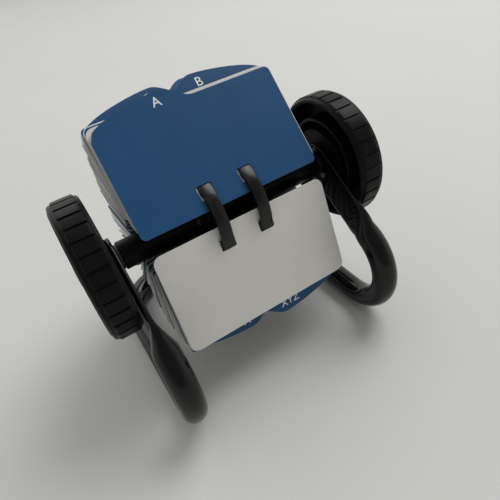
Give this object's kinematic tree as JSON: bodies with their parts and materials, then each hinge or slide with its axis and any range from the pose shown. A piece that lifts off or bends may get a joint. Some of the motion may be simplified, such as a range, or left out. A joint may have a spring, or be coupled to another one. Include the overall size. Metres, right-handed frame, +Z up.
{
  "type": "rotary card file",
  "caption": "Open rotary card file: a bent black tube stand carries two ribbed knobs and twin rails that hold a fan of white cards and navy lettered guides.",
  "frame": {"origin": "On the desk, under the middle of the bounding box", "axes": "+X along the axle towards the clutch side, +Y to the rear, +Z up"},
  "size_m": [0.168, 0.1442, 0.1523],
  "materials": {
    "stand_enamel": "gloss black enamel",
    "bush_nylon": "natural nylon",
    "pressed_steel": "zinc plated pressing",
    "plated_steel": "bright zinc plating",
    "axle_steel": "ground steel",
    "core_plastic": "satin black",
    "rail_plastic": "semi-gloss black, slightly rubbed on the rim",
    "knob_plastic": "fine-grained charcoal black",
    "cover_plastic": "satin black",
    "cam_nylon": "natural nylon",
    "ball_steel": "polished",
    "guide_card": "navy, satin, with a white index letter",
    "blank_card": "uncoated off-white card"
  },
  "bodies": {
    "stand": {"frame_tube": "stand_enamel", "left_bush": "bush_nylon", "right_bush": "bush_nylon", "clutch_drum": "pressed_steel", "clutch_rivets": "plated_steel"},
    "wheel": {"axle": "axle_steel", "core_tube": "core_plastic", "core_pins": "axle_steel", "left_rail": "rail_plastic", "right_rail": "rail_plastic", "left_knob": "knob_plastic", "right_knob": "knob_plastic", "left_knob_cover": "cover_plastic", "right_knob_cover": "cover_plastic", "left_knob_screw": "plated_steel", "right_knob_screw": "plated_steel", "left_washer": "plated_steel", "right_washer": "plated_steel", "clutch_cam": "cam_nylon", "clutch_balls": "ball_steel", "clutch_springs": "plated_steel", "guide_b": "guide_card", "guide_c": "guide_card", "guide_d": "guide_card", "guide_e": "guide_card", "guide_f": "guide_card", "guide_g": "guide_card", "guide_h": "guide_card", "guide_i": "guide_card", "guide_j": "guide_card", "guide_k": "guide_card", "guide_l": "guide_card", "guide_m": "guide_card", "guide_n": "guide_card", "guide_o": "guide_card", "guide_p": "guide_card", "guide_q": "guide_card", "guide_r": "guide_card", "guide_s": "guide_card", "guide_t": "guide_card", "guide_u": "guide_card", "guide_v": "guide_card", "guide_w": "guide_card", "guide_xyz": "guide_card", "blank_cards_a_d": "blank_card", "blank_cards_e_h": "blank_card", "blank_cards_i_l": "blank_card", "blank_cards_m_p": "blank_card", "blank_cards_q_t": "blank_card", "blank_cards_u_xyz": "blank_card", "front_blank_card": "blank_card"},
    "guide_a_card": {"guide_a": "guide_card"}
  },
  "joints": [
    {"name": "wheel_spin", "type": "hinge", "parent": "stand", "child": "wheel", "pos_m": [0, -0.0069, 0.09], "axis": [1, 0, 0], "continuous": true},
    {"name": "guide_a_tip", "type": "hinge", "parent": "wheel", "child": "guide_a_card", "pos_m": [0, -0.01271, 0.09701], "axis": [1, 0, 0], "range_deg": [0, 60]}
  ]
}
